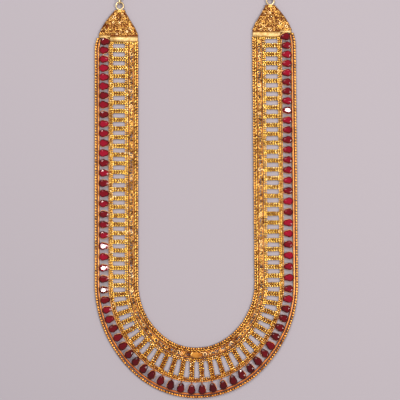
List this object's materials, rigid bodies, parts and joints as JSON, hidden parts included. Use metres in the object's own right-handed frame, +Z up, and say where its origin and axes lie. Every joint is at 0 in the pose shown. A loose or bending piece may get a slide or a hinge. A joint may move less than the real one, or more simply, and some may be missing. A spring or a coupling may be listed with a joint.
{
  "type": "long necklace",
  "caption": "Long necklace laid flat: U-shaped band of gold wirework with pear-cut red stones, rungs and beaded borders, pointed end plates, chain and barrel clasp.",
  "frame": {"origin": "middle of the necklace's outline, on the surface that it lies on", "axes": "+X to the right as seen from above, +Y from the bow at the bottom to the clasp, +Z up from the surface"},
  "size_m": [0.1326, 0.3092, 0.0044],
  "materials": {
    "border_gold": "gold plate, polished beads",
    "rail_gold": "gold plate, polished",
    "rung_gold": "gold plate, bright",
    "lace_gold": "gold plate, bright",
    "plate_gold": "gold plate, granulated",
    "chain_gold": "gold plate, polished",
    "ruby": "cut and polished red stone"
  },
  "bodies": {
    "root": {"outer_border": "border_gold", "stone_gallery": "rail_gold", "rung_ladder": "rung_gold", "lace_strip": "lace_gold", "inner_border": "border_gold", "ruby_row_left": "ruby", "ruby_row_right": "ruby", "end_plate_left": "plate_gold", "end_plate_right": "plate_gold", "back_chain_left": "chain_gold", "back_chain_right": "chain_gold", "barrel_clasp": "chain_gold"}
  },
  "joints": []
}
